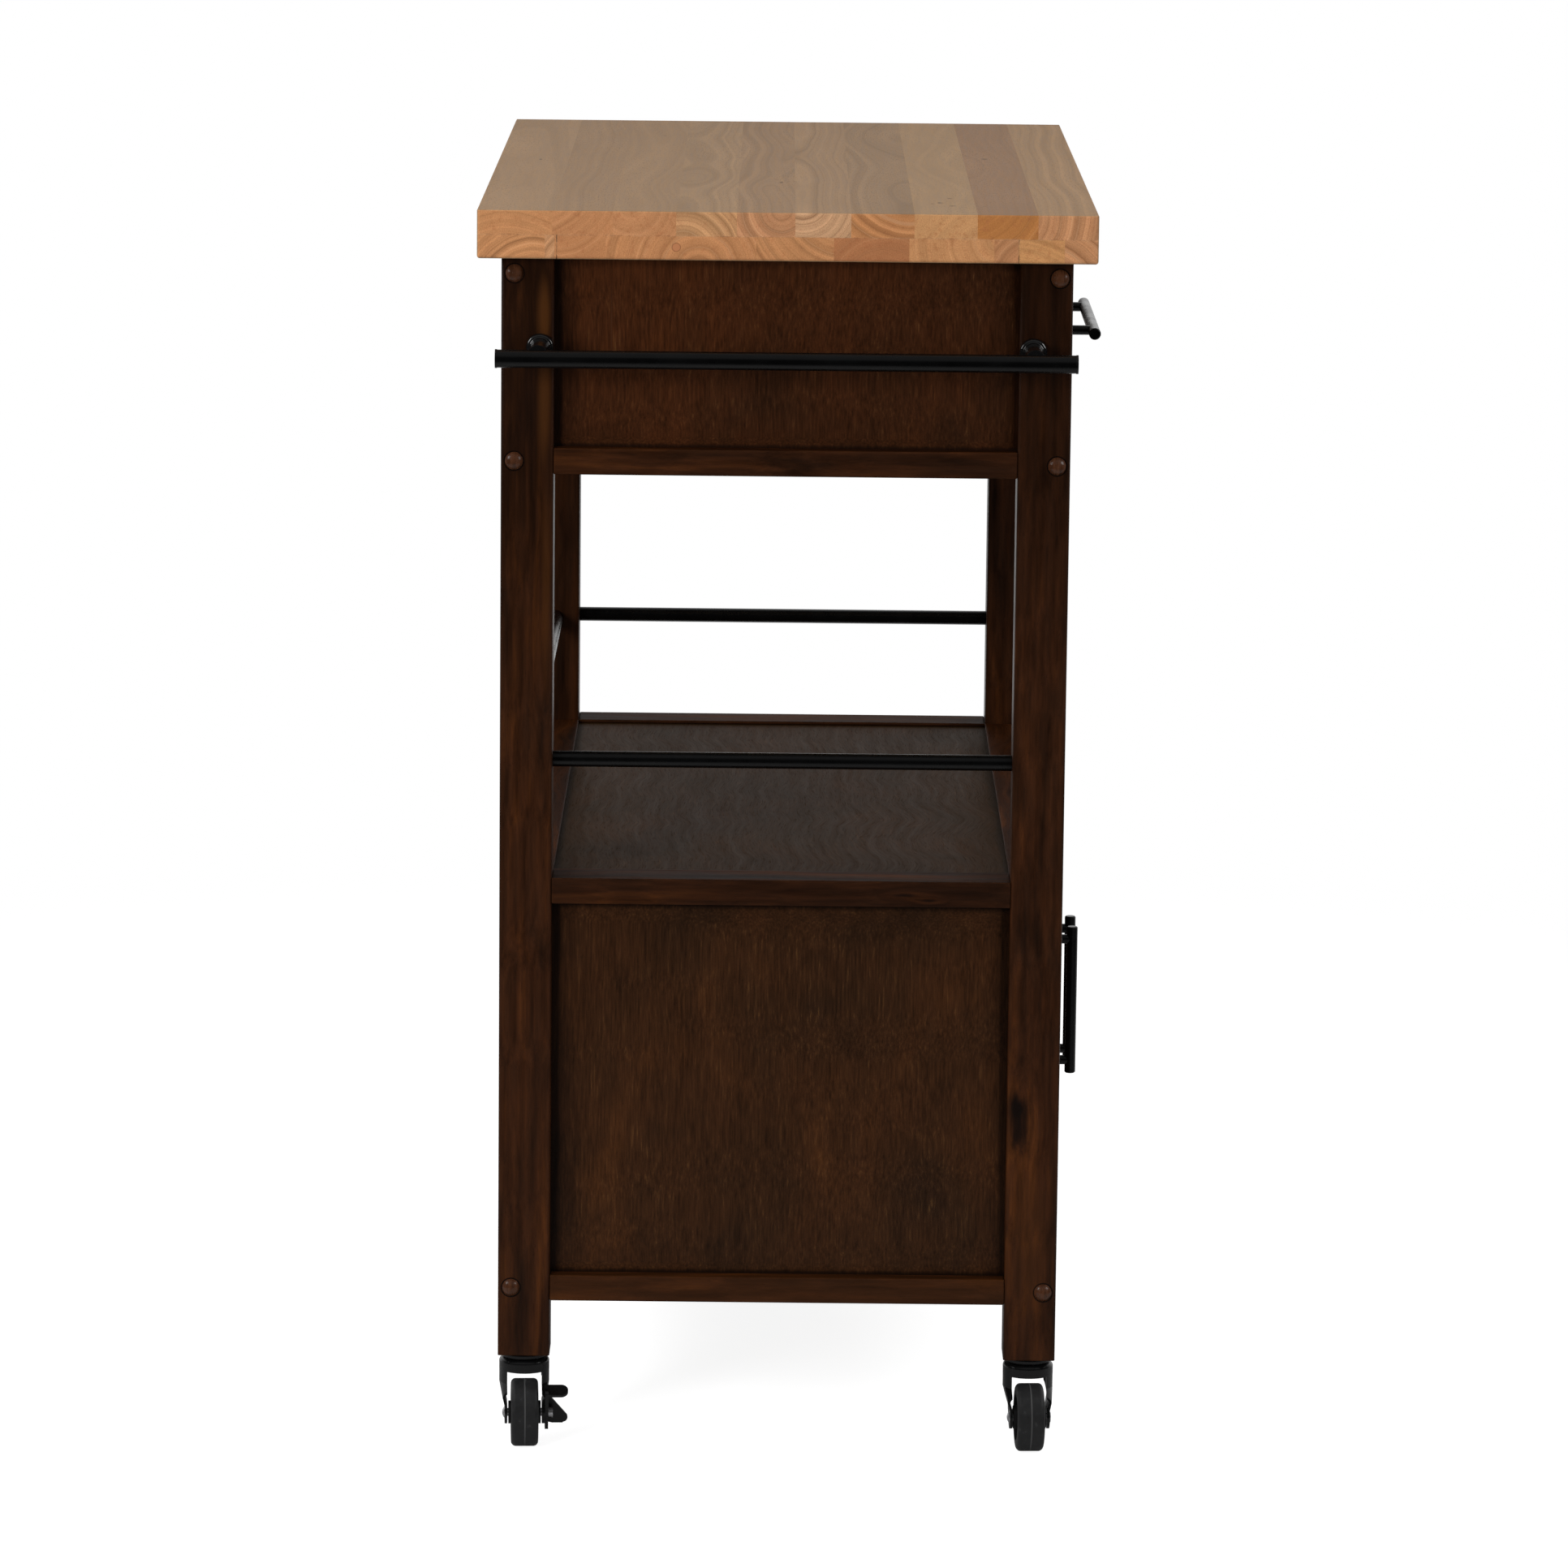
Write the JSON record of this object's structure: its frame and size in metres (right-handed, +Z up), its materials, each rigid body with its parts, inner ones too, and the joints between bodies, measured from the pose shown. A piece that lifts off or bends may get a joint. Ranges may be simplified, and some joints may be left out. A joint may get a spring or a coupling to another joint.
{
  "type": "kitchen cart",
  "caption": "Wheeled kitchen cart: wooden block top, drawer, open bay with a tube gallery, two-door cabinet, towel bar and swivel casters.",
  "frame": {"origin": "on the floor under the middle of the worktop", "axes": "+X along the worktop, away from the towel bar; +Y from front to back; +Z up"},
  "size_m": [0.7998, 0.459, 0.914],
  "materials": {
    "block_wood": "oiled, satin",
    "stained_wood": "dark stain, satin lacquer",
    "drawer_wood": "clear lacquer",
    "black_metal": "gloss black",
    "plated_steel": "zinc plated",
    "wheel_tread": "moulded, matt",
    "catch_plastic": "moulded, matt"
  },
  "bodies": {
    "cart_frame": {"worktop_board": "block_wood", "worktop_long_strips": "block_wood", "worktop_end_strips": "block_wood", "post_front_left": "stained_wood", "post_front_right": "stained_wood", "post_back_left": "stained_wood", "post_back_right": "stained_wood", "left_end_rails": "stained_wood", "right_end_rails": "stained_wood", "left_end_panels": "stained_wood", "right_end_panels": "stained_wood", "front_top_rail": "stained_wood", "front_drawer_rail": "stained_wood", "front_shelf_rail": "stained_wood", "front_bottom_rail": "stained_wood", "back_rails": "stained_wood", "back_panels": "stained_wood", "shelf_board": "stained_wood", "cabinet_floor": "stained_wood", "drawer_cleats": "drawer_wood", "slide_outer_members": "plated_steel", "gallery_end_tubes": "black_metal", "gallery_back_tube": "black_metal", "towel_bar": "black_metal", "towel_bar_brackets": "black_metal", "bolt_caps": "stained_wood", "connector_bolts": "plated_steel", "barrel_nuts": "plated_steel", "caster_stems": "black_metal", "door_catches": "catch_plastic"},
    "drawer": {"drawer_front": "stained_wood", "drawer_sides": "drawer_wood", "drawer_back": "drawer_wood", "drawer_bottom": "drawer_wood", "slide_inner_members": "plated_steel", "drawer_pull": "black_metal"},
    "ball_cages": {"slide_ball_cages": "plated_steel"},
    "left_door": {"left_door_frame": "stained_wood", "left_door_panel": "stained_wood", "left_door_handle": "black_metal", "left_door_fittings": "plated_steel"},
    "right_door": {"right_door_frame": "stained_wood", "right_door_panel": "stained_wood", "right_door_handle": "black_metal", "right_door_fittings": "plated_steel"},
    "swivel_front_left": {"fork_front_left": "black_metal", "axle_front_left": "plated_steel"},
    "wheel_front_left": {"wheel_front_left": "wheel_tread"},
    "swivel_front_right": {"fork_front_right": "black_metal", "axle_front_right": "plated_steel"},
    "wheel_front_right": {"wheel_front_right": "wheel_tread"},
    "swivel_back_left": {"fork_back_left": "black_metal", "axle_back_left": "plated_steel"},
    "wheel_back_left": {"wheel_back_left": "wheel_tread"},
    "brake_back_left": {"brake_lever_back_left": "black_metal"},
    "swivel_back_right": {"fork_back_right": "black_metal", "axle_back_right": "plated_steel"},
    "wheel_back_right": {"wheel_back_right": "wheel_tread"},
    "brake_back_right": {"brake_lever_back_right": "black_metal"}
  },
  "joints": [
    {"name": "drawer_slide", "type": "slide", "parent": "cart_frame", "child": "drawer", "axis": [0, -1, 0], "range_m": [0, 0.22]},
    {"name": "ball_cage_slide", "type": "slide", "parent": "cart_frame", "child": "ball_cages", "axis": [0, -1, 0], "range_m": [0, 0.11]},
    {"name": "left_door_hinge", "type": "hinge", "parent": "cart_frame", "child": "left_door", "pos_m": [-0.312, -0.1945, 0.268], "axis": [0, 0, -1], "range_deg": [0, 100]},
    {"name": "right_door_hinge", "type": "hinge", "parent": "cart_frame", "child": "right_door", "pos_m": [0.312, -0.1945, 0.268], "axis": [0, 0, 1], "range_deg": [0, 100]},
    {"name": "swivel_front_left_turn", "type": "hinge", "parent": "cart_frame", "child": "swivel_front_left", "pos_m": [-0.345, -0.186, 0.06], "axis": [0, 0, 1], "continuous": true},
    {"name": "wheel_front_left_roll", "type": "hinge", "parent": "swivel_front_left", "child": "wheel_front_left", "pos_m": [-0.36297, -0.18694, 0.025], "axis": [-0.0523, 0.9986, 0], "continuous": true},
    {"name": "swivel_front_right_turn", "type": "hinge", "parent": "cart_frame", "child": "swivel_front_right", "pos_m": [0.345, -0.186, 0.06], "axis": [0, 0, 1], "continuous": true},
    {"name": "wheel_front_right_roll", "type": "hinge", "parent": "swivel_front_right", "child": "wheel_front_right", "pos_m": [0.32703, -0.18694, 0.025], "axis": [-0.0523, 0.9986, 0], "continuous": true},
    {"name": "swivel_back_left_turn", "type": "hinge", "parent": "cart_frame", "child": "swivel_back_left", "pos_m": [-0.345, 0.186, 0.06], "axis": [0, 0, 1], "continuous": true},
    {"name": "wheel_back_left_roll", "type": "hinge", "parent": "swivel_back_left", "child": "wheel_back_left", "pos_m": [-0.36297, 0.18506, 0.025], "axis": [-0.0523, 0.9986, 0], "continuous": true},
    {"name": "brake_back_left_press", "type": "hinge", "parent": "swivel_back_left", "child": "brake_back_left", "pos_m": [-0.36297, 0.18506, 0.025], "axis": [0.0523, -0.9986, 0], "range_deg": [0, 14]},
    {"name": "swivel_back_right_turn", "type": "hinge", "parent": "cart_frame", "child": "swivel_back_right", "pos_m": [0.345, 0.186, 0.06], "axis": [0, 0, 1], "continuous": true},
    {"name": "wheel_back_right_roll", "type": "hinge", "parent": "swivel_back_right", "child": "wheel_back_right", "pos_m": [0.32703, 0.18506, 0.025], "axis": [-0.0523, 0.9986, 0], "continuous": true},
    {"name": "brake_back_right_press", "type": "hinge", "parent": "swivel_back_right", "child": "brake_back_right", "pos_m": [0.32703, 0.18506, 0.025], "axis": [0.0523, -0.9986, 0], "range_deg": [0, 14]}
  ],
  "couplings": [
    {"joint": "ball_cage_slide", "follows": "drawer_slide", "ratio": 0.5}
  ]
}
